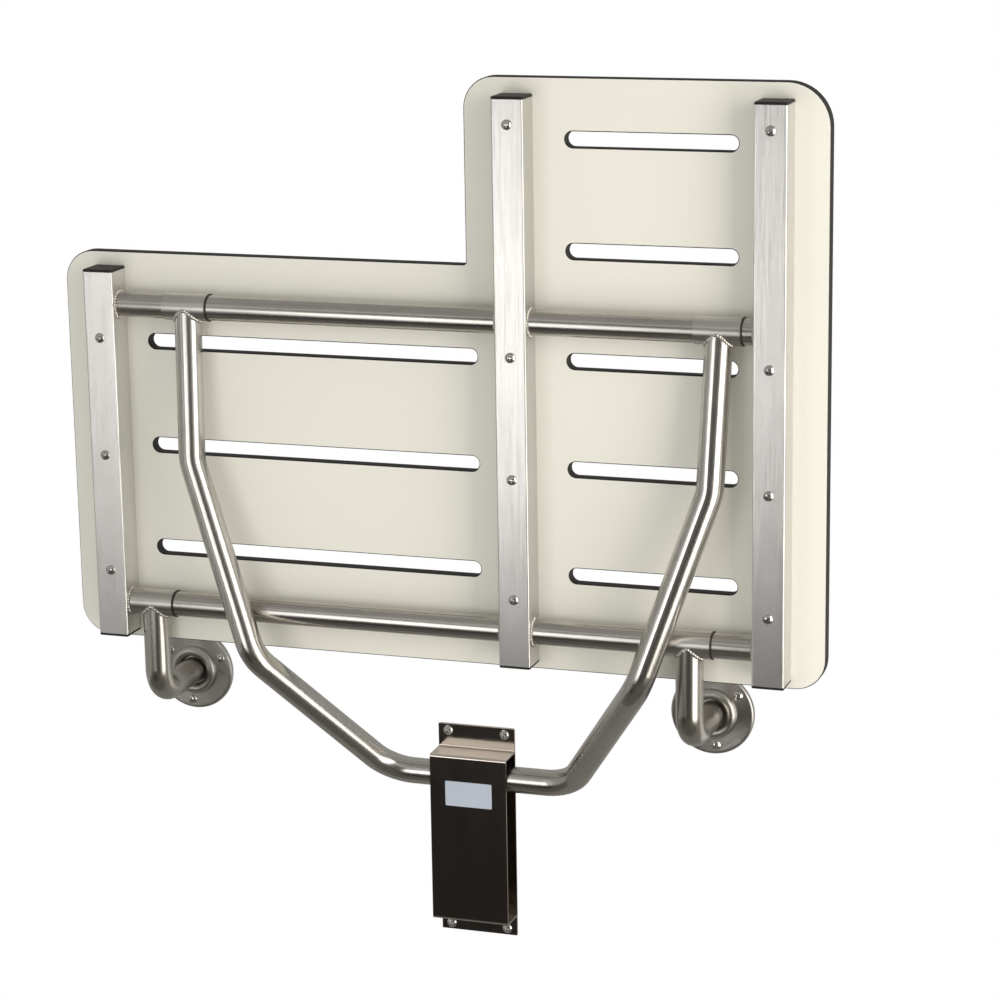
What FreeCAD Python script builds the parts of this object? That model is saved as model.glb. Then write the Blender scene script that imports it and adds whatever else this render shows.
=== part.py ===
# L-shaped fold-down shower seat, folded up against a wall and seen from its underside.
# Frame: X to the right along the wall, Y into the wall, Z up. The wall's face is the plane Y = 0,
# and the origin is the middle of the wall guide's four screws. Sizes are in millimetres.
import FreeCAD, Part
import math
import os
from FreeCAD import Vector

# Seat hinge line, and the pivot line of the support leg above it
hinge_from_wall = 91.5
pivot_above_hinge = 307.6

# Square frame tubes, which run from the back of the seat to its front
square_side = 31.75
square_wall = 2.0
square_corner = 1.8
tube_below_hinge = 32.4
short_tube_above_hinge = 341.2
long_tube_above_hinge = 521.2
right_tube_from_sleeve = 13.0
left_tube_from_sleeve = 51.45
middle_tube_from_right = 253.6

# Plastic end caps
cap_lip = 2.7
cap_edge = 1.2
cap_plug_depth = 14.0
cap_plug_wall = 1.8
cap_fit = 0.15

# Round cross tubes between the square tubes
cross_radius = 12.7
cross_wall = 1.8

# Sleeves that turn on the cross tubes, and the black bushing at each sleeve's right end
sleeve_wall = 1.0
running_clearance = 0.05
sleeve_length = 45.6
bushing_flange = 1.4
bushing_rim = 0.15
bushing_gap = 0.3

# Seat panel
panel_thickness = 12.7
panel_edge = 1.0
panel_side_margin = 33.8
panel_below_hinge = 42.5
shallow_above_hinge = 358.0
deep_above_hinge = 539.6
step_from_middle_tube = 38.1
panel_corner = 31.0
outer_corner = 42.0
step_corner = 3.0

# Drain slots: three across the shallow part, five across the deep part
slot_height = 15.1
slot_pitch = 106.6
lowest_slot_above_hinge = 54.8
shallow_slot_from_left_tube = 22.9
shallow_slot_from_middle_tube = 28.0
shallow_slot_count = 3
deep_slot_from_middle_tube = 31.6
deep_slot_from_right_tube = 21.8
deep_slot_count = 5

# Pan-head screws through the square tubes into the panel
seat_screw_heights = [35.0, 155.0, 275.0, 497.5]
seat_shank_radius = 2.4
seat_screw_bite = 9.0
screw_head_radius = 5.0
screw_head_height = 3.0
screw_head_edge = 0.9
screw_clearance = 0.35
recess_width = 1.1
recess_span = 5.4
recess_depth = 1.5

# Support leg: two bent tubes, mirrored about the leg's middle, that meet the bar in the wall guide
leg_centre_x = 7.5
leg_radius = 13.4
leg_wall = 1.8
leg_bend = 46.0
arm_half_width = 271.7
shoulder_half_width = 266.6
shoulder_above_hinge = 154.7
knee_half_width = 200.1
knee_below_hinge = 38.2
knee_forward = 34.6
foot_half_width = 97.5
bar_below_hinge = 182.5
bar_front_clearance = 1.1
bar_top_clearance = 10.1
bar_joint_gap = 0.3

# Wall elbows and their round flanges
left_elbow_from_tube = 25.5
right_elbow_from_tube = 64.9
elbow_radius = 13.6
elbow_wall = 1.8
elbow_bend = 27.0
elbow_drop = 97.0
flange_radius = 42.7
flange_thickness = 5.0
flange_edge = 2.6
bead_outer = 25.6
bead_inner = 15.2
bead_height = 6.0
bead_gap_depth = 2.0
flange_screw_margin = 9.5
flange_screw_angles = {"left": [24.5, 144.5, 264.5], "right": [37.0, 157.0, 277.0]}

# Wall guide: a flat back plate and a cover bent from the same sheet
guide_width = 82.0
guide_sheet = 1.5
guide_plate_height = 225.0
guide_plate_corner = 2.0
guide_depth = 32.0
channel_below_plate_top = 24.5
channel_above_plate_bottom = 21.5
guide_bend = 1.2
guide_side_gap = 2.0
guide_screw_side_margin = 10.5
guide_screw_end_margin = 7.0

# Wall screws
wall_neck_radius = 2.8
wall_shank_radius = 2.4
wall_screw_bite = 11.0

# Places that follow from the sizes above
bar_y = -guide_depth + guide_sheet + bar_front_clearance + leg_radius
channel_top = guide_plate_height / 2 - channel_below_plate_top
channel_bottom = channel_above_plate_bottom - guide_plate_height / 2
bar_z = channel_top - guide_sheet - bar_top_clearance - leg_radius
hinge_y = -hinge_from_wall
hinge_height = bar_z + bar_below_hinge
pivot_z = hinge_height + pivot_above_hinge
tube_front = hinge_y - square_side / 2
tube_back = hinge_y + square_side / 2
panel_back = tube_back + panel_thickness
tube_bottom = hinge_height - tube_below_hinge
sleeve_bore = cross_radius + running_clearance
sleeve_radius = sleeve_bore + sleeve_wall
bar_half_length = guide_width / 2 + guide_side_gap - bar_joint_gap
flange_z = hinge_height - elbow_drop
flange_screw_circle = flange_radius - flange_screw_margin
guide_screw_x = guide_width / 2 - guide_screw_side_margin
guide_screw_z = guide_plate_height / 2 - guide_screw_end_margin
right_tube_x = (leg_centre_x + arm_half_width + sleeve_length / 2
                + right_tube_from_sleeve + square_side / 2)
left_tube_x = (leg_centre_x - arm_half_width - sleeve_length / 2
               - left_tube_from_sleeve - square_side / 2)
middle_tube_x = right_tube_x - middle_tube_from_right
tube_xs = {"left": left_tube_x, "middle": middle_tube_x, "right": right_tube_x}
tube_tops = {
    "left": hinge_height + short_tube_above_hinge,
    "middle": hinge_height + long_tube_above_hinge,
    "right": hinge_height + long_tube_above_hinge,
}
elbow_xs = {
    "left": left_tube_x + square_side / 2 + left_elbow_from_tube,
    "right": right_tube_x - square_side / 2 - right_elbow_from_tube,
}
step_x = middle_tube_x - square_side / 2 - step_from_middle_tube
shallow_slot_left = left_tube_x + square_side / 2 + shallow_slot_from_left_tube
shallow_slot_right = middle_tube_x - square_side / 2 - shallow_slot_from_middle_tube
deep_slot_left = middle_tube_x + square_side / 2 + deep_slot_from_middle_tube
deep_slot_right = right_tube_x - square_side / 2 - deep_slot_from_right_tube
panel_left = left_tube_x - square_side / 2 - panel_side_margin
panel_right = right_tube_x + square_side / 2 + panel_side_margin

X_AXIS = Vector(1, 0, 0)
Y_AXIS = Vector(0, 1, 0)
Z_AXIS = Vector(0, 0, 1)


def export(name, shape):
    """Write one piece to its own file."""
    shape.exportStep(f"parts/{name}.step")


def rod(start, axis, radius, length):
    """A solid cylinder from a start point along an axis."""
    return Part.makeCylinder(radius, length, start, axis)


def tube(start, axis, radius, wall, length):
    """A straight round tube."""
    return rod(start, axis, radius, length).cut(rod(start, axis, radius - wall, length))


def rounded_post(x, y, z_low, z_high, side, corner):
    """An upright square bar with rounded long edges, centred on x and y."""
    bar = Part.makeBox(side, side, z_high - z_low, Vector(x - side / 2, y - side / 2, z_low))
    upright = [edge for edge in bar.Edges if abs(edge.tangentAt(edge.FirstParameter).z) > 0.99]
    return bar.makeFillet(corner, upright)


def rounded_outline(points, radii):
    """A closed face from corner points, each corner rounded by its own radius."""
    edges = []
    starts = []
    ends = []
    for index, corner in enumerate(points):
        back = (points[index - 1] - corner).normalize()
        ahead = (points[(index + 1) % len(points)] - corner).normalize()
        half_turn = back.getAngle(ahead) / 2
        reach = radii[index] / math.tan(half_turn)
        middle = (back + ahead).normalize() * (radii[index] / math.sin(half_turn) - radii[index])
        starts.append(corner + back * reach)
        ends.append(corner + ahead * reach)
        edges.append(Part.Arc(starts[-1], corner + middle, ends[-1]).toShape())
    for index, end in enumerate(ends):
        edges.append(Part.LineSegment(end, starts[(index + 1) % len(starts)]).toShape())
    return Part.Face(Part.Wire(Part.__sortEdges__(edges)))


def bent_path(points, bend):
    """A wire through the points with each inner corner rounded to the bend radius."""
    edges = []
    last = points[0]
    for index in range(1, len(points) - 1):
        corner = points[index]
        back = (points[index - 1] - corner).normalize()
        ahead = (points[index + 1] - corner).normalize()
        half_turn = back.getAngle(ahead) / 2
        reach = bend / math.tan(half_turn)
        middle = (back + ahead).normalize() * (bend / math.sin(half_turn) - bend)
        edges.append(Part.LineSegment(last, corner + back * reach).toShape())
        edges.append(Part.Arc(corner + back * reach, corner + middle, corner + ahead * reach).toShape())
        last = corner + ahead * reach
    edges.append(Part.LineSegment(last, points[-1]).toShape())
    return Part.Wire(edges)


def bent_rod(points, bend, radius):
    """A round bar swept along a bent path."""
    start = points[0]
    ring = Part.Wire(Part.Circle(start, points[1] - start, radius).toShape())
    return bent_path(points, bend).makePipeShell([ring], True, False)


def bent_tube(points, bend, radius, wall):
    """A round tube swept along a bent path."""
    return bent_rod(points, bend, radius).cut(bent_rod(points, bend, radius - wall))


def pan_screw(seat, shank_radius, shank_length):
    """A domed screw with a cross recess, driven along +Y, its head's flat on the seat point."""
    dome_rise = screw_head_height - screw_head_edge
    dome_radius = (screw_head_radius ** 2 + dome_rise ** 2) / (2 * dome_rise)
    top = Vector(0, -screw_head_height, 0)
    dome = Part.makeSphere(dome_radius, top + Vector(0, dome_radius, 0))
    head = rod(top, Y_AXIS, screw_head_radius, screw_head_height).common(dome)
    wide = Part.makeBox(recess_span, recess_depth, recess_width,
                        top - Vector(recess_span / 2, 0, recess_width / 2))
    tall = Part.makeBox(recess_width, recess_depth, recess_span,
                        top - Vector(recess_width / 2, 0, recess_span / 2))
    screw = head.cut(wide.fuse(tall)).fuse(rod(Vector(0, 0, 0), Y_AXIS, shank_radius, shank_length))
    screw = screw.removeSplitter().Solids[0]
    screw.translate(seat)
    return screw


def wall_screw(seat, neck_length):
    """A wall screw: a plain neck through the metal it holds, then a thinner shank in the wall."""
    neck = pan_screw(seat, wall_neck_radius, neck_length)
    bite = rod(seat + Vector(0, neck_length, 0), Y_AXIS, wall_shank_radius, wall_screw_bite)
    return neck.fuse(bite).Solids[0]


def sleeve(x, z):
    """A short sleeve that turns on a cross tube, centred on x."""
    start = Vector(x - sleeve_length / 2, hinge_y, z)
    return tube(start, X_AXIS, sleeve_radius, sleeve_wall, sleeve_length)


def bushing(x, z):
    """The thin black bushing flange on the cross tube at the right end of a sleeve."""
    start = Vector(x + sleeve_length / 2 + bushing_gap, hinge_y, z)
    rim = sleeve_radius + bushing_rim
    return tube(start, X_AXIS, rim, rim - cross_radius, bushing_flange)


def seat_panel():
    """The L-shaped laminate panel with its long drain slots and blind screw holes."""
    low = hinge_height - panel_below_hinge
    shallow = hinge_height + shallow_above_hinge
    deep = hinge_height + deep_above_hinge
    corners = [
        (panel_left, low, panel_corner),
        (panel_right, low, panel_corner),
        (panel_right, deep, outer_corner),
        (step_x, deep, panel_corner),
        (step_x, shallow, step_corner),
        (panel_left, shallow, panel_corner),
    ]
    outline = rounded_outline([Vector(x, tube_back, z) for x, z, _ in corners], [r for _, _, r in corners])
    panel = outline.extrude(Vector(0, panel_thickness, 0))
    rows = [(shallow_slot_left, shallow_slot_right, row) for row in range(shallow_slot_count)]
    rows += [(deep_slot_left, deep_slot_right, row) for row in range(deep_slot_count)]
    end = slot_height / 2
    for left, right, row in rows:
        z = hinge_height + lowest_slot_above_hinge + row * slot_pitch
        bar = Part.makeBox(right - left - 2 * end, panel_thickness, slot_height,
                           Vector(left + end, tube_back, z - end))
        left_end = rod(Vector(left + end, tube_back, z), Y_AXIS, end, panel_thickness)
        right_end = rod(Vector(right - end, tube_back, z), Y_AXIS, end, panel_thickness)
        panel = panel.cut(bar.fuse([left_end, right_end]))
    rims = []
    for face in panel.Faces:
        if abs(face.normalAt(0, 0).y) > 0.99:
            rims += face.Edges
    panel = panel.makeChamfer(panel_edge, rims)
    for x, z in seat_screw_places():
        panel = panel.cut(rod(Vector(x, tube_back, z), Y_AXIS, seat_shank_radius, seat_screw_bite))
    return panel


def seat_screw_places():
    """Every seat screw's x and z, left tube first and lowest first."""
    places = []
    for side, x in tube_xs.items():
        for height in seat_screw_heights:
            if hinge_height + height < tube_tops[side]:
                places.append((x, hinge_height + height))
    return places


def frame_tube(side):
    """A hollow square tube with its screw holes and its round cross-tube holes."""
    x = tube_xs[side]
    inner = square_side - 2 * square_wall
    post = rounded_post(x, hinge_y, tube_bottom, tube_tops[side], square_side, square_corner)
    post = post.cut(rounded_post(x, hinge_y, tube_bottom, tube_tops[side], inner, square_corner / 2))
    for screw_x, z in seat_screw_places():
        if screw_x == x:
            radius = seat_shank_radius + screw_clearance
            post = post.cut(rod(Vector(x, tube_front, z), Y_AXIS, radius, square_side))
    if side == "middle":
        for z in (hinge_height, pivot_z):
            start = Vector(x - square_side / 2, hinge_y, z)
            post = post.cut(rod(start, X_AXIS, cross_radius, square_side))
    return post


def cross_tube(z):
    """A round tube butted between the outer square tubes, through the middle one."""
    left_face = left_tube_x + square_side / 2
    right_face = right_tube_x - square_side / 2
    start = Vector(left_face, hinge_y, z)
    return tube(start, X_AXIS, cross_radius, cross_wall, right_face - left_face)


def end_cap(x, seat_z, inward):
    """A square cap on a tube's end, its plug inside; inward is +1 at the bottom end, -1 at the top."""
    end_z = seat_z - inward * cap_lip
    lip = rounded_post(x, hinge_y, min(end_z, seat_z), max(end_z, seat_z), square_side, square_corner)
    outer_edges = [edge for edge in lip.Edges if abs(edge.BoundBox.ZMin - end_z) < 1e-6
                   and edge.BoundBox.ZLength < 1e-6]
    lip = lip.makeFillet(cap_edge, outer_edges)
    plug_side = square_side - 2 * square_wall - 2 * cap_fit
    plug_end = seat_z + inward * cap_plug_depth
    low, high = min(seat_z, plug_end), max(seat_z, plug_end)
    plug = rounded_post(x, hinge_y, low, high, plug_side, square_corner / 2)
    hollow = plug_side - 2 * cap_plug_wall
    plug = plug.cut(rounded_post(x, hinge_y, low, high, hollow, square_corner / 4))
    return lip.fuse(plug)


def arm_x(sign):
    """The middle of an arm of the leg, at its sleeve."""
    return leg_centre_x + sign * arm_half_width


def leg_tube(sign):
    """One side of the leg: from its sleeve down to the end of the bar beside the guide."""
    shoulder_share = (pivot_above_hinge - shoulder_above_hinge) / (pivot_above_hinge + knee_below_hinge)
    points = [
        Vector(arm_x(sign), hinge_y, pivot_z),
        Vector(leg_centre_x + sign * shoulder_half_width, hinge_y - knee_forward * shoulder_share,
               hinge_height + shoulder_above_hinge),
        Vector(leg_centre_x + sign * knee_half_width, hinge_y - knee_forward,
               hinge_height - knee_below_hinge),
        Vector(leg_centre_x + sign * foot_half_width, bar_y, bar_z),
        Vector(sign * (bar_half_length + bar_joint_gap), bar_y, bar_z),
    ]
    saddle = rod(Vector(arm_x(sign) - sleeve_length / 2, hinge_y, pivot_z),
                 X_AXIS, sleeve_radius, sleeve_length)
    return bent_tube(points, leg_bend, leg_radius, leg_wall).cut(saddle)


def hinge_elbow(x):
    """The bent tube from a hinge sleeve down and back into the wall flange."""
    points = [Vector(x, hinge_y, hinge_height), Vector(x, hinge_y, flange_z), Vector(x, 0, flange_z)]
    saddle = rod(Vector(x - sleeve_length / 2, hinge_y, hinge_height), X_AXIS, sleeve_radius, sleeve_length)
    return bent_tube(points, elbow_bend, elbow_radius, elbow_wall).cut(saddle)


def flange_screw_places(side):
    """The three screw places on one wall flange."""
    places = []
    for angle in flange_screw_angles[side]:
        turn = math.radians(angle)
        places.append(Vector(elbow_xs[side] + flange_screw_circle * math.cos(turn), -flange_thickness,
                             flange_z + flange_screw_circle * math.sin(turn)))
    return places


def wall_flange(side):
    """A round flange turned with a raised bead round the elbow's end, and three screw holes."""
    top = -flange_thickness
    turn = flange_edge * (1 - math.sqrt(0.5))
    gap_floor = top + bead_gap_depth
    bead_middle = (bead_outer + bead_inner) / 2
    profile = [
        Part.LineSegment(Vector(elbow_radius, 0, 0), Vector(flange_radius, 0, 0)),
        Part.LineSegment(Vector(flange_radius, 0, 0), Vector(flange_radius, top + flange_edge, 0)),
        Part.Arc(Vector(flange_radius, top + flange_edge, 0), Vector(flange_radius - turn, top + turn, 0),
                 Vector(flange_radius - flange_edge, top, 0)),
        Part.LineSegment(Vector(flange_radius - flange_edge, top, 0), Vector(bead_outer, top, 0)),
        Part.Arc(Vector(bead_outer, top, 0), Vector(bead_middle, top - bead_height, 0),
                 Vector(bead_inner, top, 0)),
        Part.LineSegment(Vector(bead_inner, top, 0), Vector(bead_inner, gap_floor, 0)),
        Part.LineSegment(Vector(bead_inner, gap_floor, 0), Vector(elbow_radius, gap_floor, 0)),
        Part.LineSegment(Vector(elbow_radius, gap_floor, 0), Vector(elbow_radius, 0, 0)),
    ]
    face = Part.Face(Part.Wire([curve.toShape() for curve in profile]))
    flange = face.revolve(Vector(0, 0, 0), Y_AXIS, 360)
    flange.translate(Vector(elbow_xs[side], 0, flange_z))
    for place in flange_screw_places(side):
        flange = flange.cut(rod(place, Y_AXIS, wall_neck_radius + screw_clearance, flange_thickness))
    return flange


def guide_screw_places(y):
    """The guide's four screw places, on a face at the given y."""
    return [Vector(sx * guide_screw_x, y, sz * guide_screw_z) for sz in (-1, 1) for sx in (-1, 1)]


def drill_guide(plate):
    """Cut the guide's four screw holes."""
    for place in guide_screw_places(-2 * guide_sheet):
        plate = plate.cut(rod(place, Y_AXIS, wall_neck_radius + screw_clearance, 2 * guide_sheet))
    return plate


def guide_plate():
    """The flat back plate of the wall guide."""
    half_x = guide_width / 2
    half_z = guide_plate_height / 2
    corners = [Vector(-half_x, 0, -half_z), Vector(half_x, 0, -half_z),
               Vector(half_x, 0, half_z), Vector(-half_x, 0, half_z)]
    face = rounded_outline(corners, [guide_plate_corner] * 4)
    return drill_guide(face.extrude(Vector(0, -guide_sheet, 0)))


def guide_cover():
    """The hat-shaped cover: two screw flanges and a channel open at both sides."""
    half_x = guide_width / 2
    half_z = guide_plate_height / 2
    back = -guide_sheet
    foot = back - guide_sheet
    inner_front = -guide_depth + guide_sheet
    outline = [
        (back, half_z, 0.2), (foot, half_z, 0.2),
        (foot, channel_top, guide_bend), (-guide_depth, channel_top, guide_bend + guide_sheet),
        (-guide_depth, channel_bottom, guide_bend + guide_sheet), (foot, channel_bottom, guide_bend),
        (foot, -half_z, 0.2), (back, -half_z, 0.2),
        (back, channel_bottom + guide_sheet, guide_bend + guide_sheet),
        (inner_front, channel_bottom + guide_sheet, guide_bend),
        (inner_front, channel_top - guide_sheet, guide_bend),
        (back, channel_top - guide_sheet, guide_bend + guide_sheet),
    ]
    face = rounded_outline([Vector(-half_x, y, z) for y, z, _ in outline], [r for _, _, r in outline])
    return drill_guide(face.extrude(Vector(guide_width, 0, 0)))


def crossbar():
    """The straight bar of the leg, which slides up and down in the wall guide."""
    start = Vector(-bar_half_length, bar_y, bar_z)
    return tube(start, X_AXIS, leg_radius, leg_wall, 2 * bar_half_length)


os.makedirs("parts", exist_ok=True)

export("seat_panel", seat_panel())
export("front_cross_tube", cross_tube(pivot_z))
export("rear_cross_tube", cross_tube(hinge_height))
export("crossbar", crossbar())
export("guide_plate", guide_plate())
export("guide_cover", guide_cover())

for side in tube_xs:
    export(f"frame_tube_{side}", frame_tube(side))
    export(f"cap_bottom_{side}", end_cap(tube_xs[side], tube_bottom, 1))
    export(f"cap_top_{side}", end_cap(tube_xs[side], tube_tops[side], -1))
    places = [z for x, z in seat_screw_places() if x == tube_xs[side]]
    for number, z in enumerate(places, start=1):
        screw = pan_screw(Vector(tube_xs[side], tube_front, z), seat_shank_radius,
                          square_side + seat_screw_bite)
        export(f"seat_screw_{side}_{number}", screw)

for side, sign in (("left", -1), ("right", 1)):
    export(f"leg_tube_{side}", leg_tube(sign))
    export(f"leg_sleeve_{side}", sleeve(arm_x(sign), pivot_z))
    export(f"leg_bushing_{side}", bushing(arm_x(sign), pivot_z))
    export(f"hinge_sleeve_{side}", sleeve(elbow_xs[side], hinge_height))
    export(f"hinge_bushing_{side}", bushing(elbow_xs[side], hinge_height))
    export(f"hinge_elbow_{side}", hinge_elbow(elbow_xs[side]))
    export(f"wall_flange_{side}", wall_flange(side))
    for number, place in enumerate(flange_screw_places(side), start=1):
        export(f"flange_screw_{side}_{number}", wall_screw(place, flange_thickness))

for number, place in enumerate(guide_screw_places(-2 * guide_sheet), start=1):
    export(f"guide_screw_{number}", wall_screw(place, 2 * guide_sheet))
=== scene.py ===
import math

import bpy
from mathutils import Matrix, Vector


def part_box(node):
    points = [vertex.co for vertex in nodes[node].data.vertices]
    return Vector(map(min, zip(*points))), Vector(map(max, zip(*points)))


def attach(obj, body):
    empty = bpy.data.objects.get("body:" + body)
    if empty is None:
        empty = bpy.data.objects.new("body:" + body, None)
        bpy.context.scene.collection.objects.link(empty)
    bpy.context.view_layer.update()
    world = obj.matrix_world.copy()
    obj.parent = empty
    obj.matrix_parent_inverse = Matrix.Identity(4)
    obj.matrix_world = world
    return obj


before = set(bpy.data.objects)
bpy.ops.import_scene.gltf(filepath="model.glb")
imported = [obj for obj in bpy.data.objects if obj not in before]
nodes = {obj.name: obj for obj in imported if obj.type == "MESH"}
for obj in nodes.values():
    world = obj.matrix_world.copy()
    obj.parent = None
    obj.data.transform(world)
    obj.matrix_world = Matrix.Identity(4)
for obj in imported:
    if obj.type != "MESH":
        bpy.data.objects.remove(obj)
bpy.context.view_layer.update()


# The camera and the studio. The seat hangs in white space, as a catalogue picture shows it,
# over a pale floor. Three soft boxes light it from the front, the far left and the right, and boards
# that only reflections see give the polished tubes their dark streaks.
yaw, pitch, roll = 0.325804, 0.239722, -0.015861
camera_place = (0.97521, -2.80153, 1.07518)
ahead = Vector((-math.sin(yaw) * math.cos(pitch), math.cos(yaw) * math.cos(pitch), -math.sin(pitch)))
level = Vector((math.cos(yaw), math.sin(yaw), 0))
upright = level.cross(ahead)
right = math.cos(roll) * level + math.sin(roll) * upright
up = math.cos(roll) * upright - math.sin(roll) * level


def placed(name, data):
    """An object in the scene that holds this data."""
    thing = bpy.data.objects.new(name, data)
    bpy.context.collection.objects.link(thing)
    return thing


camera_data = bpy.data.cameras.new("camera")
camera_data.sensor_fit = "HORIZONTAL"
camera_data.sensor_width = 36
camera_data.lens = 108.965
camera_data.clip_end = 100
camera = placed("camera", camera_data)
camera.matrix_world = Matrix.Translation(camera_place) @ Matrix((right, up, -ahead)).transposed().to_4x4()
bpy.context.scene.camera = camera
bpy.context.scene.view_settings.view_transform = "Standard"


def feed(tree, node, sockets):
    """Give a node's sockets their values or links."""
    for key, value in sockets.items():
        if isinstance(value, bpy.types.NodeSocket):
            tree.links.new(value, node.inputs[key])
        else:
            node.inputs[key].default_value = value


def add_node(tree, kind, settings, sockets):
    """The outputs of a new node, which is given its settings and then its sockets."""
    node = tree.nodes.new(kind)
    for key, value in settings.items():
        setattr(node, key, value)
    feed(tree, node, sockets)
    return node.outputs


def seen_directly(tree):
    """A factor that is 1 for the camera, reflections and glass, and 0 for the light that falls on things."""
    path = add_node(tree, "ShaderNodeLightPath", {}, {})
    seen = path["Is Camera Ray"]
    for kind in ("Is Glossy Ray", "Is Transmission Ray"):
        seen = add_node(tree, "ShaderNodeMath", {"operation": "MAXIMUM"}, {0: seen, 1: path[kind]})[0]
    return seen


world = bpy.data.worlds.new("studio")
world.use_nodes = True
bpy.context.scene.world = world
air = world.node_tree
air.nodes.clear()
daylight = add_node(air, "ShaderNodeBackground", {}, {"Color": (1, 0.99, 0.97, 1), "Strength": 0.63})
backdrop = add_node(air, "ShaderNodeBackground", {}, {"Color": (1, 1, 1, 1)})
either = add_node(air, "ShaderNodeMixShader", {},
                  {"Fac": seen_directly(air), 1: daylight[0], 2: backdrop[0]})
add_node(air, "ShaderNodeOutputWorld", {}, {"Surface": either[0]})


def board(name, centre, across, along, material):
    """A flat rectangle of the studio, from its centre and its two half edges."""
    centre, across, along = Vector(centre), Vector(across), Vector(along)
    corners = [centre + sx * across + sy * along for sx, sy in ((-1, -1), (1, -1), (1, 1), (-1, 1))]
    mesh = bpy.data.meshes.new(name)
    mesh.from_pydata(corners, [], [(0, 1, 2, 3)])
    mesh.materials.append(material)
    thing = placed(name, mesh)
    return thing


floor_paint = bpy.data.materials.new("floor_paint")
floor_paint.use_nodes = True
paint = floor_paint.node_tree
matt = paint.nodes["Principled BSDF"]
feed(paint, matt, {"Base Color": (0.86, 0.86, 0.85, 1), "Roughness": 0.9})
glow = add_node(paint, "ShaderNodeEmission", {}, {})
lit = add_node(paint, "ShaderNodeMixShader", {},
               {"Fac": seen_directly(paint), 1: matt.outputs[0], 2: glow[0]})
feed(paint, paint.nodes["Material Output"], {"Surface": lit[0]})
board("floor", (0, 0, -0.95), (30, 0, 0), (0, 30, 0), floor_paint)


def flag(name, centre, across, along, shade):
    """A board of one shade that only reflections see."""
    cloth = bpy.data.materials.new(name)
    cloth.use_nodes = True
    tree = cloth.node_tree
    tree.nodes.clear()
    dim = add_node(tree, "ShaderNodeEmission", {}, {"Color": (*shade, 1)})
    add_node(tree, "ShaderNodeOutputMaterial", {}, {"Surface": dim[0]})
    thing = board(name, centre, across, along, cloth)
    for ray in ("camera", "diffuse", "shadow", "transmission"):
        setattr(thing, f"visible_{ray}", False)


# Each board's name, middle, half width, half height and shade.
flag("low_near_board", (0.2, 0.15, -0.6), (1.8, 0, 0), (0, 0.35, 0), (0.26, 0.25, 0.23))
flag("low_board", (0.2, -0.925, -0.6), (1.8, 0, 0), (0, 0.725, 0), (0.13, 0.122, 0.11))
flag("low_far_board", (0, -2.825, -0.6), (2.0, 0, 0), (0, 1.175, 0), (0.055, 0.05, 0.043))
flag("low_middle_board", (-0.6, -1.7, -0.58), (0.42, 0, 0), (0, 0.8, 0), (0.021, 0.019, 0.018))
flag("low_left_board", (-3.0, -0.25, -0.61), (1.3, 0, 0), (0, 3.25, 0), (0.38, 0.37, 0.35))
flag("low_right_board", (3.0, -1.5, -0.6), (1.0, 0, 0), (0, 2.0, 0), (0.42, 0.41, 0.38))
flag("rear_low_left_board", (-0.5, 1.75, -0.6), (1.1, 0, 0), (0, 1.25, 0), (0.33, 0.32, 0.30))
flag("rear_low_right_board", (2.3, 1.75, -0.6), (1.7, 0, 0), (0, 1.25, 0), (0.85, 0.82, 0.75))
flag("roof_board", (0, -1.0, 2.7), (3.5, 0, 0), (0, 2.5, 0), (0.38, 0.37, 0.35))
flag("left_board", (-3.5, -1.0, 1.0), (0, 2.5, 0), (0, 0, 1.7), (0.42, 0.41, 0.39))
flag("right_board", (3.5, -1.0, 1.0), (0, 2.5, 0), (0, 0, 1.7), (0.42, 0.41, 0.39))
flag("front_board", (0.85, -4.4, 1.0), (2.75, 0, 0), (0, 0, 1.7), (0.15, 0.145, 0.14))
flag("front_left_board", (-2.75, -4.4, 1.0), (0.85, 0, 0), (0, 0, 1.7), (0.42, 0.41, 0.39))
flag("camera_board", (1.25, -3.3, 0.7), (0.9, 0.34, 0), (0, 0, 1.1), (0.12, 0.115, 0.11))
flag("rear_board", (0, 1.6, 1.0), (3.6, 0, 0), (0, 0, 1.7), (0.42, 0.41, 0.39))


def soft_box(name, centre, aim, size, watts, colour):
    """A rectangular soft light at a place, turned towards another."""
    lamp = bpy.data.lights.new(name, "AREA")
    lamp.shape = "RECTANGLE"
    lamp.size, lamp.size_y = size
    lamp.energy = watts
    lamp.color = colour
    holder = placed(name, lamp)
    holder.location = centre
    holder.rotation_euler = (Vector(centre) - Vector(aim)).to_track_quat("Z", "Y").to_euler()
    holder.visible_camera = False


# Each box's name, place, aim, width and height, watts and colour.
soft_box("front_box", (-0.42, -1.5, 0.28), (-0.05, 0, 0.5), (0.62, 0.72), 2.92, (1, 0.99, 0.98))
soft_box("far_left_box", (-1.3, -3.0, 0.325), (-1.3, 0, 0.325), (0.5, 0.85), 2.0, (1, 0.98, 0.95))
soft_box("right_box", (1.44, -0.78, 0.45), (0, 0, 0.45), (0.9, 2.0), 19, (1, 0.97, 0.90))


# The seat panel: compact laminate, cream on both faces with a black core that shows
# on its cut edges and inside the drain slots. It is screwed to the square tubes.
class Wire:
    """A value on its way through a finish. Arithmetic on it adds the nodes that it needs."""

    def __init__(self, finish, socket):
        self.finish = finish
        self.socket = socket

    def maths(self, operation, *numbers):
        return self.finish.node("ShaderNodeMath", {"operation": operation}, dict(enumerate(numbers)))

    def __add__(self, other):
        return self.maths("ADD", self, other)

    def __rsub__(self, other):
        return self.maths("SUBTRACT", other, self)

    def __mul__(self, other):
        return self.maths("MULTIPLY", self, other)

    def __abs__(self):
        return self.maths("ABSOLUTE", self)

    __radd__ = __add__
    __rmul__ = __mul__


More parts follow.
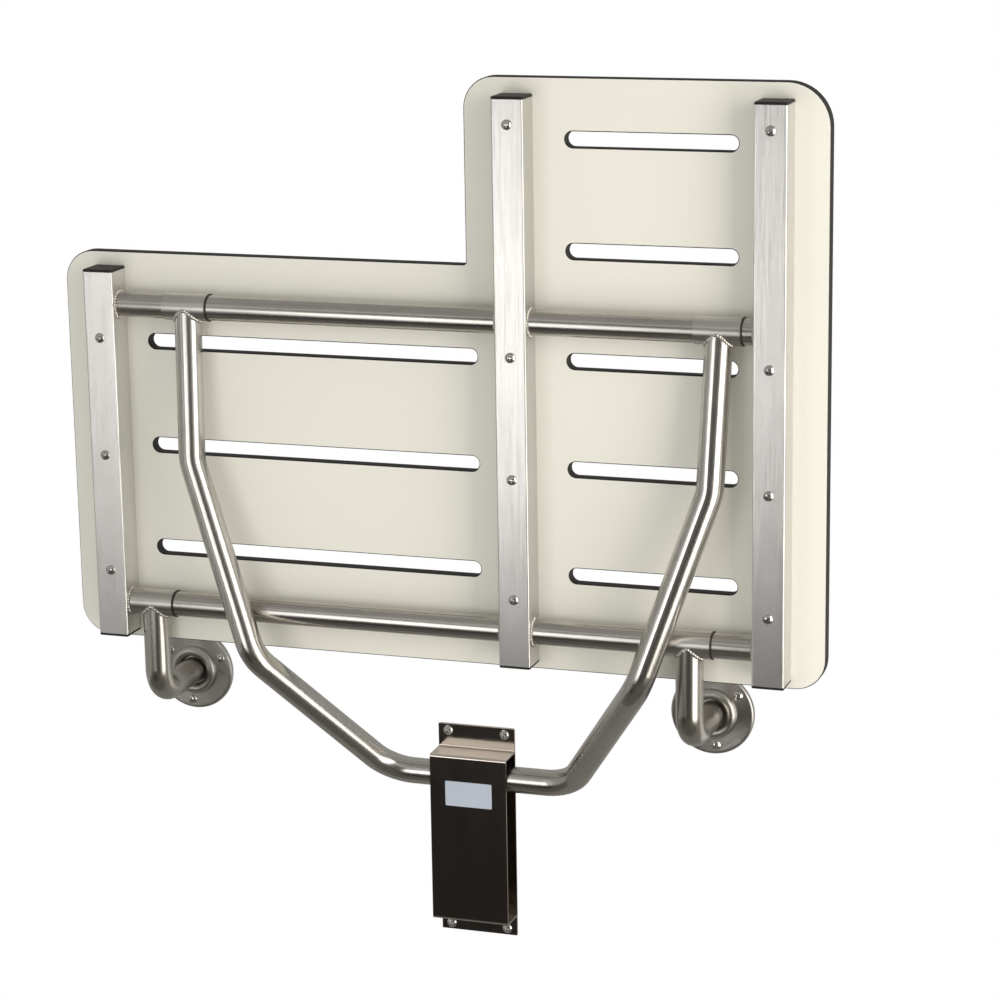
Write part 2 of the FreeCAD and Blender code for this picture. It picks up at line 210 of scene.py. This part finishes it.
class Finish:
    """A surface finish: one shader, and the pattern that varies its colour, roughness and relief."""

    def __init__(self, name, metallic):
        self.material = bpy.data.materials.new(name)
        self.material.use_nodes = True
        self.tree = self.material.node_tree
        self.shader = self.tree.nodes["Principled BSDF"]
        self.shader.inputs["Metallic"].default_value = metallic
        self.place = self.node("ShaderNodeTexCoord", {}, {}, "Object")

    def node(self, kind, settings, values, output=0):
        """A new node, given its settings and then the values or wires of its sockets."""
        sockets = {key: value.socket if isinstance(value, Wire) else value for key, value in values.items()}
        return Wire(self, add_node(self.tree, kind, settings, sockets)[output])

    def grain(self, per_metre, detail=3.0, roughness=0.55, shift=0.0):
        """Noise from 0 to 1, with this many lumps to the metre along each axis."""
        scaled = self.node("ShaderNodeMapping", {}, {"Vector": self.place, "Scale": per_metre,
                                                     "Location": (shift, shift, shift)})
        return self.node("ShaderNodeTexNoise", {}, {"Vector": scaled, "Scale": 1.0, "Detail": detail,
                                                    "Roughness": roughness})

    def facing(self, axis):
        """How far the surface faces along an axis, from -1 to 1."""
        normal = self.node("ShaderNodeTexCoord", {}, {}, "Normal")
        return self.node("ShaderNodeSeparateXYZ", {}, {0: normal}, axis)

    def ramp(self, amount, low, high):
        """0 below low, 1 above high, smooth between."""
        return self.node("ShaderNodeMapRange", {"interpolation_type": "SMOOTHSTEP"},
                         {"Value": amount, "From Min": low, "From Max": high})

    def blend(self, amount, low, high):
        """A colour between two others, each of which is three numbers or a wire."""
        ends = [end if isinstance(end, Wire) else (*end, 1) for end in (low, high)]
        return self.node("ShaderNodeMix", {"data_type": "RGBA"}, {0: amount, 6: ends[0], 7: ends[1]}, 2)

    def relief(self, height, depth):
        """A bump that is depth metres deep where the height goes from 0 to 1."""
        return self.node("ShaderNodeBump", {}, {"Height": height, "Distance": depth, "Strength": 1.0})

    def dress(self, colour, roughness, normal):
        """Give the shader what varies over the surface."""
        feed(self.tree, self.shader, {"Base Color": colour.socket, "Roughness": roughness.socket,
                                      "Normal": normal.socket})

    def wear(self, *names):
        """Put this finish on CAD pieces."""
        for name in names:
            for place in nodes[name].material_slots:
                place.material = self.material


laminate = Finish("cream_laminate", metallic=0.0)
sheet_grain = laminate.grain((420, 420, 420), detail=4)
broad_clouds = laminate.grain((5, 5, 5), detail=2)
# flat is 1 on the panel's two faces and 0 on its cut edges.
flat = laminate.ramp(abs(laminate.facing("Y")), 0.86, 0.94)
cream_tone = 0.5 * broad_clouds + 0.5 * sheet_grain
cream = laminate.blend(cream_tone, (0.80, 0.78, 0.695), (0.85, 0.835, 0.755))
core = laminate.blend(laminate.grain((90, 900, 90)), (0.011, 0.010, 0.009), (0.030, 0.027, 0.024))
laminate.dress(
    colour=laminate.blend(flat, core, cream),
    roughness=0.62 - 0.2 * flat + 0.1 * sheet_grain,
    normal=laminate.relief(sheet_grain, depth=0.00004))
laminate.wear("seat_panel")


# The three square tubes under the seat: stainless steel, satin brushed along their length, with
# the panel's screws driven through them. The middle one is the same steel painted slightly darker, a painted
# shade.
def brushed(name, dark, pale, per_metre, roughness, spread=0.12, depth=0.00001):
    """Brushed steel. per_metre is how many brush lines there are to the metre along each axis."""
    steel = Finish(name, metallic=1.0)
    lines = steel.grain(per_metre, detail=4, roughness=0.6)
    clouds = steel.grain((11, 11, 11), shift=3.0)
    tone = 0.6 * lines + 0.4 * clouds
    steel.dress(
        colour=steel.blend(steel.ramp(tone, 0.3, 0.7), dark, pale),
        roughness=(roughness - spread / 2) + spread * tone,
        normal=steel.relief(lines, depth))
    return steel


square_brush = (9000, 9000, 9)
square_steel = brushed("satin_square_tube", (0.75, 0.74, 0.72), (0.80, 0.79, 0.77), square_brush,
                       roughness=0.285, spread=0.08, depth=0.0001)
square_steel.wear("frame_tube_left", "frame_tube_right")
# The middle tube is the same steel with its colour painted darker: painted shade.
middle_steel_painted_shade = brushed("satin_middle_tube_painted_shade", (0.65, 0.64, 0.62), (0.71, 0.70, 0.68), square_brush,
                       roughness=0.285, spread=0.08, depth=0.00007)
middle_steel_painted_shade.wear("frame_tube_middle")


# The black caps that close the square tubes at both ends, moulded in a tough plastic
# with a fine matt skin and pushed in.
cap_plastic = Finish("black_cap_plastic", metallic=0.0)
cap_plastic.shader.inputs["Specular IOR Level"].default_value = 0.2
skin = cap_plastic.grain((1600, 1600, 1600), detail=2)
cap_plastic.dress(
    colour=cap_plastic.blend(cap_plastic.grain((60, 60, 60)), (0.012, 0.011, 0.010), (0.026, 0.023, 0.020)),
    roughness=0.42 + 0.16 * skin,
    normal=cap_plastic.relief(skin, depth=0.00005))
for side in ("left", "middle", "right"):
    cap_plastic.wear(f"cap_top_{side}", f"cap_bottom_{side}")


# The two round cross tubes, of satin stainless steel, welded between the square tubes. They are
# the shafts that the seat folds on and the support leg swings on.
cross_steel = brushed("satin_cross_tube", (0.47, 0.45, 0.42), (0.59, 0.57, 0.54), (10, 900, 900),
                      roughness=0.25)
cross_steel.wear("front_cross_tube", "rear_cross_tube")


# The weld beads: a run of small overlapping puddles of steel filler round each end of the cross
# tubes and on both sides of the middle tube. The leg and the hinge have theirs in their own sections.
bead_radius = 0.0021
bead_spacing = 0.0029
seam_steps = 96


def weld_tree():
    """A tree that lays puddles of metal along the seam lines that it is given."""
    any_turn = (6.28, 6.28, 6.28)
    smallest, largest = (0.75, 0.75, 0.75), (1.2, 1.2, 1.2)
    tree = bpy.data.node_groups.new("weld_bead", "GeometryNodeTree")
    tree.interface.new_socket("Geometry", in_out="INPUT", socket_type="NodeSocketGeometry")
    for name, kind in (("Bead Radius", "Float"), ("Bead Spacing", "Float"), ("Seed", "Int")):
        size = tree.interface.new_socket(name, in_out="INPUT", socket_type=f"NodeSocket{kind}")
        size.min_value = 0
    tree.interface.new_socket("Metal", in_out="INPUT", socket_type="NodeSocketMaterial")
    tree.interface.new_socket("Geometry", in_out="OUTPUT", socket_type="NodeSocketGeometry")

    given = add_node(tree, "NodeGroupInput", {}, {})
    line = add_node(tree, "GeometryNodeMeshToCurve", {}, {"Mesh": given["Geometry"]})
    stops = add_node(tree, "GeometryNodeResampleCurve", {"mode": "LENGTH"},
                     {"Curve": line["Curve"], "Length": given["Bead Spacing"]})
    puddle = add_node(tree, "GeometryNodeMeshUVSphere", {},
                      {"Segments": 8, "Rings": 5, "Radius": given["Bead Radius"]})
    tilt = add_node(tree, "FunctionNodeRandomValue", {"data_type": "FLOAT_VECTOR"},
                    {0: (0, 0, 0), 1: any_turn, "Seed": given["Seed"]})
    swell = add_node(tree, "FunctionNodeRandomValue", {"data_type": "FLOAT_VECTOR"},
                     {0: smallest, 1: largest, "Seed": given["Seed"]})
    laid = add_node(tree, "GeometryNodeInstanceOnPoints", {},
                    {"Points": stops["Curve"], "Instance": puddle["Mesh"], "Rotation": tilt[0],
                     "Scale": swell[0]})
    solid = add_node(tree, "GeometryNodeRealizeInstances", {}, {"Geometry": laid["Instances"]})
    rounded = add_node(tree, "GeometryNodeSetShadeSmooth", {}, {"Geometry": solid["Geometry"]})
    metal = add_node(tree, "GeometryNodeSetMaterial", {},
                     {"Geometry": rounded["Geometry"], "Material": given["Metal"]})
    add_node(tree, "NodeGroupOutput", {}, {"Geometry": metal["Geometry"]})
    return tree


bead_maker = weld_tree()
weld_steel = Finish("weld_steel", metallic=1.0)
ripples = weld_steel.grain((1300, 1300, 1300))
weld_steel.dress(
    colour=weld_steel.blend(ripples, (0.42, 0.395, 0.36), (0.86, 0.84, 0.80)),
    roughness=0.16 + 0.22 * ripples,
    normal=weld_steel.relief(ripples, depth=0.0001))


def weld(name, body, seams, seed):
    """One mesh of beads along the seams of one body. Each seam is a closed loop of points."""
    points, edges = [], []
    for seam in seams:
        first, count = len(points), len(seam)
        points += seam
        edges += [(first + step, first + (step + 1) % count) for step in range(count)]
    lines = bpy.data.meshes.new(name + "_lines")
    lines.from_pydata(points, edges, [])
    maker = placed(name + "_lines", lines)
    modifier = maker.modifiers.new("weld_bead", "NODES")
    modifier.node_group = bead_maker
    given = {"Bead Radius": bead_radius, "Bead Spacing": bead_spacing, "Seed": seed,
             "Metal": weld_steel.material}
    for item in bead_maker.interface.items_tree:
        if item.name in given:
            modifier[item.identifier] = given[item.name]
    depsgraph = bpy.context.evaluated_depsgraph_get()
    mesh = bpy.data.meshes.new_from_object(maker.evaluated_get(depsgraph), depsgraph=depsgraph)
    mesh.name = name
    bpy.data.objects.remove(maker)
    beads = placed(name, mesh)
    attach(beads, body)


def middle_and_radius(name):
    """The middle and the radius of a round CAD piece."""
    low, high = map(Vector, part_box(name))
    return (low + high) / 2, (high.z - low.z) / 2


def round_seam(middle, radius):
    """The seam where a tube along the wall meets a flat face."""
    seam = []
    for step in range(seam_steps):
        angle = 2 * math.pi * step / seam_steps
        y, z = middle.y + radius * math.cos(angle), middle.z + radius * math.sin(angle)
        seam.append(Vector((middle.x, y, z)))
    return seam


# Each cross tube meets the right face of the left tube, both faces of the middle tube and the
# left face of the right tube. Corner 0 of a tube's box is on its left face, and corner 1 on its right.
# The line of beads stands seam_gap off the cross tube's wall.
seam_gap = 0.0006
seat_seams = []
for tube in ("front_cross_tube", "rear_cross_tube"):
    middle, radius = middle_and_radius(tube)
    for side, corner in (("left", 1), ("middle", 0), ("middle", 1), ("right", 0)):
        middle.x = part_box(f"frame_tube_{side}")[corner][0]
        seat_seams.append(round_seam(middle, radius + seam_gap))
weld("weld_beads_seat", "seat", seat_seams, seed=4)


# The screws that hold the panel, driven through the square tubes: bright steel pan heads
# with a cross recess, turned and tumbled smooth.
def pieces(start):
    """The names of the CAD pieces that start like this."""
    return [name for name in nodes if name.startswith(start)]


screw_steel = Finish("screw_steel", metallic=1.0)
tumbled = screw_steel.grain((700, 700, 700))
screw_steel.dress(
    colour=screw_steel.blend(tumbled, (0.50, 0.49, 0.47), (0.72, 0.71, 0.69)),
    roughness=0.12 + 0.12 * tumbled,
    normal=screw_steel.relief(tumbled, depth=0.00003))
screw_steel.wear(*pieces("seat_screw"))


# The support leg: two bent tubes of satin stainless steel, each welded under a short sleeve, which
# turns on the front cross tube. A thin black plastic bushing shows at each sleeve's right end.
leg_steel = brushed("satin_leg_tube", (0.49, 0.47, 0.44), (0.62, 0.60, 0.57), (620, 620, 14), roughness=0.23)
leg_steel.wear("leg_tube_left", "leg_tube_right")
sleeve_steel = brushed("satin_sleeve", (0.54, 0.52, 0.49), (0.68, 0.66, 0.63), (14, 760, 760),
                       roughness=0.29, depth=0.00002)
sleeve_steel.wear("leg_sleeve_left", "leg_sleeve_right")
bushing_plastic = Finish("black_bushing_plastic", metallic=0.0)
turned = bushing_plastic.grain((30, 1200, 1200), detail=2)
bushing_plastic.dress(
    colour=bushing_plastic.blend(turned, (0.014, 0.013, 0.012), (0.035, 0.032, 0.029)),
    roughness=0.36 + 0.16 * turned,
    normal=bushing_plastic.relief(turned, depth=0.00003))
bushing_plastic.wear("leg_bushing_left", "leg_bushing_right")


def saddle_seam(sleeve, down, tube_radius):
    """The seam where a tube that goes down from the middle of a sleeve leaves the sleeve's wall."""
    start, sleeve_radius = middle_and_radius(sleeve)
    across = down.cross(Vector((0, 1, 0))).normalized()
    along = down.cross(across).normalized()
    seam = []
    for step in range(seam_steps):
        angle = 2 * math.pi * step / seam_steps
        rim = tube_radius * (math.cos(angle) * across + math.sin(angle) * along)
        # How far down the tube this side of its wall meets the sleeve's round outside.
        a = down.y ** 2 + down.z ** 2
        b = rim.y * down.y + rim.z * down.z
        c = rim.y ** 2 + rim.z ** 2 - sleeve_radius ** 2
        seam.append(start + rim + down * ((-b + math.sqrt(max(b * b - a * c, 0))) / a))
    return seam


leg_tube_radius = 0.0134
# From its sleeve to its first bend each arm runs this far inwards, out from the wall and down.
arm_inwards, arm_outwards, arm_downwards = 0.0051, 0.0153, 0.1529
left_arm = Vector((arm_inwards, -arm_outwards, -arm_downwards)).normalized()
right_arm = Vector((-arm_inwards, -arm_outwards, -arm_downwards)).normalized()
leg_seams = [saddle_seam("leg_sleeve_left", left_arm, leg_tube_radius),
             saddle_seam("leg_sleeve_right", right_arm, leg_tube_radius)]
weld("weld_beads_leg", "leg", leg_seams, seed=7)


# The hinge: bent elbows of the same steel, welded under two more sleeves, which the rear
# cross tube turns in, with the same black bushings.
elbow_steel = brushed("satin_elbow", (0.44, 0.42, 0.39), (0.57, 0.55, 0.51), (560, 560, 20), roughness=0.25)
elbow_steel.wear("hinge_elbow_left", "hinge_elbow_right")
sleeve_steel.wear("hinge_sleeve_left", "hinge_sleeve_right")
bushing_plastic.wear("hinge_bushing_left", "hinge_bushing_right")
elbow_radius = 0.0136
straight_down = Vector((0, 0, -1))
hinge_seams = [saddle_seam("hinge_sleeve_left", straight_down, elbow_radius),
               saddle_seam("hinge_sleeve_right", straight_down, elbow_radius)]
weld("weld_beads_hinge", "wall_mounts", hinge_seams, seed=9)


# The round wall flanges, turned from steel plate with a raised bead round the elbow, and the
# three screws that fix each of them. The turning marks run round each flange's own middle.
rings_per_metre = 2200.0
for side in ("left", "right"):
    flange_steel = Finish(f"satin_flange_{side}", metallic=1.0)
    middle = middle_and_radius(f"wall_flange_{side}")[0]
    moved = flange_steel.node("ShaderNodeVectorMath", {"operation": "SUBTRACT"},
                              {0: flange_steel.place, 1: (middle.x, 0, middle.z)})
    in_plane = flange_steel.node("ShaderNodeVectorMath", {"operation": "MULTIPLY"}, {0: moved, 1: (1, 0, 1)})
    from_middle = flange_steel.node("ShaderNodeVectorMath", {"operation": "LENGTH"}, {0: in_plane}, "Value")
    rings = flange_steel.node("ShaderNodeTexNoise", {"noise_dimensions": "1D"},
                              {"W": rings_per_metre * from_middle, "Scale": 1.0, "Detail": 3.0})
    tone = 0.6 * rings + 0.4 * flange_steel.grain((30, 30, 30))
    flange_steel.dress(
        colour=flange_steel.blend(tone, (0.43, 0.415, 0.39), (0.60, 0.585, 0.56)),
        roughness=0.24 + 0.12 * rings,
        normal=flange_steel.relief(rings, depth=0.00012))
    flange_steel.wear(f"wall_flange_{side}")
screw_steel.wear(*pieces("flange_screw"))


# The wall guide: a back plate and a folded cover of polished steel sheet, dark in its reflections,
# with a rougher top wall whose colour is painted paler as a painted sheen, held by four screws. The leg's
# bar slides in its channel.
guide_steel = Finish("polished_guide_steel", metallic=1.0)
smears = guide_steel.grain((30, 30, 9))
scratches = guide_steel.grain((900, 900, 20), detail=2, roughness=0.6, shift=7.0)
# topside is 1 on the cover's top wall and 0 on its upright faces; it lays the painted sheen there.
topside = guide_steel.ramp(guide_steel.facing("Z"), 0.3, 0.9)
polished = guide_steel.blend(smears, (0.56, 0.50, 0.45), (0.64, 0.58, 0.52))
# The top wall's paler colour is a painted sheen of the light it catches from above; the scratches only vary
# it.
painted_top_sheen = guide_steel.blend(scratches, (0.72, 0.67, 0.59), (0.86, 0.81, 0.72))
guide_steel.dress(
    colour=guide_steel.blend(topside, polished, painted_top_sheen),
    roughness=0.09 + 0.08 * smears + 0.26 * topside,
    normal=guide_steel.relief(scratches, depth=0.000006))
guide_steel.wear("guide_plate", "guide_cover")
screw_steel.wear(*pieces("guide_screw"))
bar_steel = brushed("satin_crossbar", (0.53, 0.51, 0.47), (0.68, 0.66, 0.62), (14, 620, 620),
                    roughness=0.21, depth=0.00002)
bar_steel.wear("crossbar")


# A blank label stuck on the guide's face: pale satin film with rounded corners and a
# narrow sloping rim.
label_wide, label_high, label_thick = 0.050, 0.0265, 0.0003
corner_radius, corner_steps = 0.0012, 6
# The label's back is glue_depth inside the cover's face. Its rim slopes in by rim_slope over the
# outer part of its thickness, from rim_start on.
rim_slope, rim_start, glue_depth = 0.00025, 0.6, 0.0001
face_below_plate_top, label_below_face_top, label_off_centre = 0.0245, 0.0405, 0.0004
cover_low, cover_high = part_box("guide_cover")
label_height = cover_high[2] - face_below_plate_top - label_below_face_top
label_middle = Vector((label_off_centre, cover_low[1], label_height))
outline = []
for sx, sz, first in ((1, 1, 0), (-1, 1, 90), (-1, -1, 180), (1, -1, 270)):
    for step in range(corner_steps + 1):
        angle = math.radians(first + 90 * step / corner_steps)
        outline.append((sx * (label_wide / 2 - corner_radius) + corner_radius * math.cos(angle),
                        sz * (label_high / 2 - corner_radius) + corner_radius * math.sin(angle)))
count = len(outline)
points = []
for inset, y in ((0, glue_depth), (0, -label_thick * rim_start), (rim_slope, -label_thick)):
    narrower, lower = 1 - 2 * inset / label_wide, 1 - 2 * inset / label_high
    points += [label_middle + Vector((x * narrower, y, z * lower)) for x, z in outline]
faces = [tuple(range(count))[::-1], tuple(range(2 * count, 3 * count))]
for ring in (0, count):
    for index in range(count):
        after = (index + 1) % count
        faces.append((ring + index, ring + after, ring + count + after, ring + count + index))
label_mesh = bpy.data.meshes.new("label_plate")
label_mesh.from_pydata(points, [], faces)
label = placed("label_plate", label_mesh)
film = Finish("label_film", metallic=0.0)
fibres = film.grain((900, 900, 900))
film.dress(
    colour=film.blend(film.grain((45, 45, 45)), (0.45, 0.50, 0.57), (0.52, 0.57, 0.65)),
    roughness=0.42 + 0.14 * fibres,
    normal=film.relief(fibres, depth=0.00002))
label_mesh.materials.append(film.material)
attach(label, "wall_mounts")
